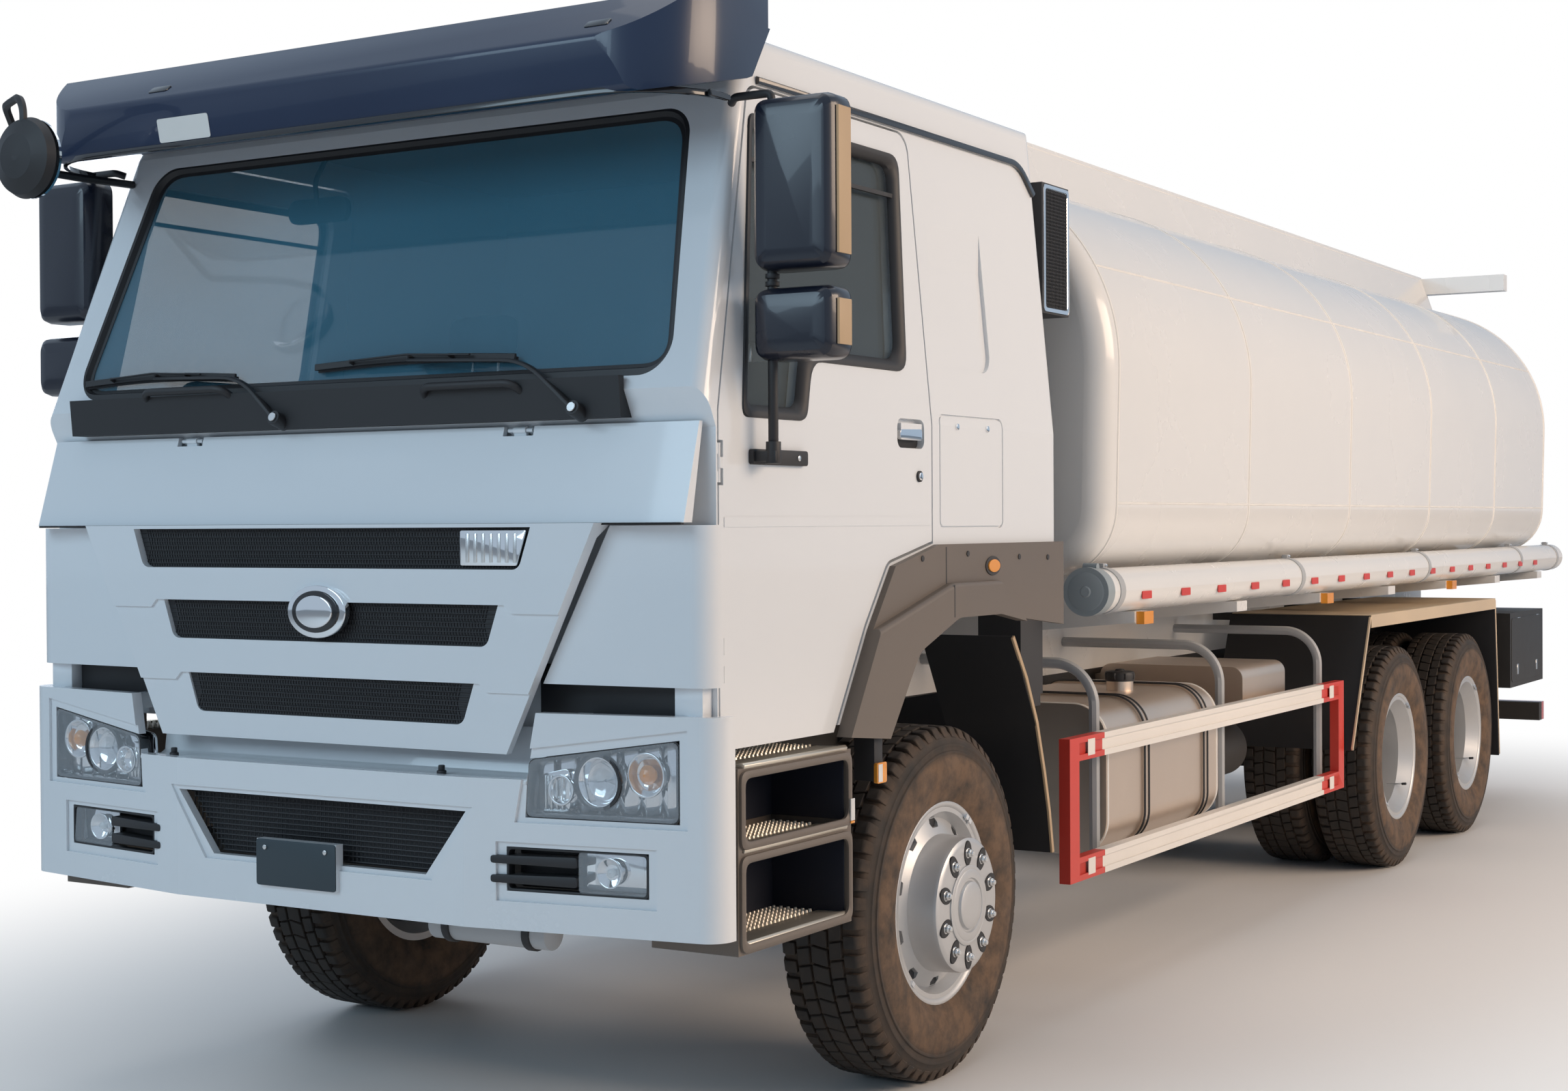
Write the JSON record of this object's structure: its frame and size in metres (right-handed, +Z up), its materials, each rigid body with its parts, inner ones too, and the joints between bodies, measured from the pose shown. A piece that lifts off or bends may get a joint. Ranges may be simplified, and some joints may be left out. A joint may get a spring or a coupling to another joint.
{
  "type": "tanker truck",
  "caption": "Forward-control tanker truck with a tilting sleeper cab, an oval tank, hose tubes along the sides and a tandem rear bogie.",
  "frame": {"origin": "on the ground at the centre of the truck's outline", "axes": "+X to the truck's left, +Y to its rear, +Z up"},
  "size_m": [2.92, 10.259, 3.225],
  "materials": {
    "tyre": "matt black with a brown dusty sidewall",
    "wheel_silver": "satin silver paint",
    "chassis_black": "satin black paint",
    "spring_steel": "dark rolled steel",
    "engine_iron": "rough grey casting",
    "body_white": "gloss white paint",
    "tank_white": "gloss white paint",
    "visor_navy": "tinted dark navy",
    "clad_grey": "grained grey",
    "mesh_black": "matt black",
    "glass": "clear, lightly tinted",
    "lamp_clear": "clear lens over a chrome reflector",
    "lamp_red": "red lens",
    "lamp_amber": "amber lens",
    "interior_dark": "soft dark grey",
    "seat_fabric": "woven dark grey",
    "guard_bands": "white with red bands",
    "aluminium": "brushed sheet"
  },
  "bodies": {
    "chassis": {"frame": "chassis_black", "engine": "engine_iron", "front_axle": "chassis_black", "leaf_springs": "spring_steel", "drive_axles": "chassis_black", "tank": "tank_white", "coaming": "tank_white", "ladder": "aluminium", "tank_subframe": "chassis_black", "hose_tubes": "tank_white", "side_guards": "guard_bands", "fuel_tank": "aluminium", "air_tanks": "chassis_black", "battery_box": "mesh_black", "mudguards": "mesh_black", "equipment_boxes": "chassis_black", "underrun_bar": "chassis_black", "tail_lamps": "lamp_red", "marker_lamps": "lamp_amber", "air_intake": "mesh_black"},
    "knuckle_left": {"knuckle_left": "chassis_black"},
    "knuckle_right": {"knuckle_right": "chassis_black"},
    "front_wheel_left": {"wheel_front_left": "wheel_silver", "tyre_front_left": "tyre"},
    "front_wheel_right": {"wheel_front_right": "wheel_silver", "tyre_front_right": "tyre"},
    "second_wheels_left": {"wheels_second_left": "wheel_silver", "tyres_second_left": "tyre"},
    "second_wheels_right": {"wheels_second_right": "wheel_silver", "tyres_second_right": "tyre"},
    "third_wheels_left": {"wheels_third_left": "wheel_silver", "tyres_third_left": "tyre"},
    "third_wheels_right": {"wheels_third_right": "wheel_silver", "tyres_third_right": "tyre"},
    "cab": {"cab_shell": "body_white", "windscreen": "glass", "visor": "visor_navy", "corner_panels": "body_white", "cowl": "mesh_black", "bumper": "body_white", "front_lamps": "lamp_clear", "steps": "clad_grey", "arch_cladding": "clad_grey", "front_mirror": "mesh_black", "dashboard": "interior_dark", "steering_wheel": "interior_dark", "seats": "seat_fabric"},
    "door_left": {"door_left": "body_white", "door_glass_left": "glass", "mirror_left": "mesh_black"},
    "door_right": {"door_right": "body_white", "door_glass_right": "glass", "mirror_right": "mesh_black"},
    "front_cover": {"front_cover": "body_white", "grille_mesh": "mesh_black"},
    "manhole_lid_front": {"manhole_lid_front": "tank_white"},
    "manhole_lid_rear": {"manhole_lid_rear": "tank_white"},
    "tube_lid_left": {"tube_lid_left": "mesh_black"},
    "tube_lid_right": {"tube_lid_right": "mesh_black"}
  },
  "joints": [
    {"name": "steer_left", "type": "hinge", "parent": "chassis", "child": "knuckle_left", "pos_m": [0.83, -3.31, 0.538], "axis": [0, 0, 1], "range_deg": [-38, 38]},
    {"name": "steer_right", "type": "hinge", "parent": "chassis", "child": "knuckle_right", "pos_m": [-0.83, -3.31, 0.538], "axis": [0, 0, 1], "range_deg": [-38, 38]},
    {"name": "front_spin_left", "type": "hinge", "parent": "knuckle_left", "child": "front_wheel_left", "pos_m": [1.02, -3.31, 0.538], "axis": [1, 0, 0], "continuous": true},
    {"name": "front_spin_right", "type": "hinge", "parent": "knuckle_right", "child": "front_wheel_right", "pos_m": [-1.02, -3.31, 0.538], "axis": [1, 0, 0], "continuous": true},
    {"name": "second_spin_left", "type": "hinge", "parent": "chassis", "child": "second_wheels_left", "pos_m": [0.915, 1.49, 0.538], "axis": [1, 0, 0], "continuous": true},
    {"name": "second_spin_right", "type": "hinge", "parent": "chassis", "child": "second_wheels_right", "pos_m": [-0.915, 1.49, 0.538], "axis": [1, 0, 0], "continuous": true},
    {"name": "third_spin_left", "type": "hinge", "parent": "chassis", "child": "third_wheels_left", "pos_m": [0.915, 2.84, 0.538], "axis": [1, 0, 0], "continuous": true},
    {"name": "third_spin_right", "type": "hinge", "parent": "chassis", "child": "third_wheels_right", "pos_m": [-0.915, 2.84, 0.538], "axis": [1, 0, 0], "continuous": true},
    {"name": "cab_tilt", "type": "hinge", "parent": "chassis", "child": "cab", "pos_m": [0, -4.41, 0.815], "axis": [1, 0, 0], "range_deg": [0, 50]},
    {"name": "door_left_swing", "type": "hinge", "parent": "cab", "child": "door_left", "pos_m": [1.189, -4.626, 1.3], "axis": [0, 0, -1], "range_deg": [0, 70]},
    {"name": "door_right_swing", "type": "hinge", "parent": "cab", "child": "door_right", "pos_m": [-1.189, -4.626, 1.3], "axis": [0, 0, 1], "range_deg": [0, 70]},
    {"name": "front_cover_lift", "type": "hinge", "parent": "cab", "child": "front_cover", "pos_m": [0, -4.6675, 1.945], "axis": [-1, 0, 0], "range_deg": [0, 60]},
    {"name": "manhole_front_lift", "type": "hinge", "parent": "chassis", "child": "manhole_lid_front", "pos_m": [0, -0.028, 3.1643], "axis": [-1, 0, 0], "range_deg": [0, 95]},
    {"name": "manhole_rear_lift", "type": "hinge", "parent": "chassis", "child": "manhole_lid_rear", "pos_m": [0, 3.072, 3.1643], "axis": [-1, 0, 0], "range_deg": [0, 95]},
    {"name": "tube_left_lift", "type": "hinge", "parent": "chassis", "child": "tube_lid_left", "pos_m": [1.161, -2.184, 1.537], "axis": [-1, 0, 0], "range_deg": [0, 100]},
    {"name": "tube_right_lift", "type": "hinge", "parent": "chassis", "child": "tube_lid_right", "pos_m": [-1.161, -2.184, 1.537], "axis": [-1, 0, 0], "range_deg": [0, 100]}
  ],
  "couplings": [
    {"joint": "steer_right", "follows": "steer_left", "ratio": 1}
  ]
}
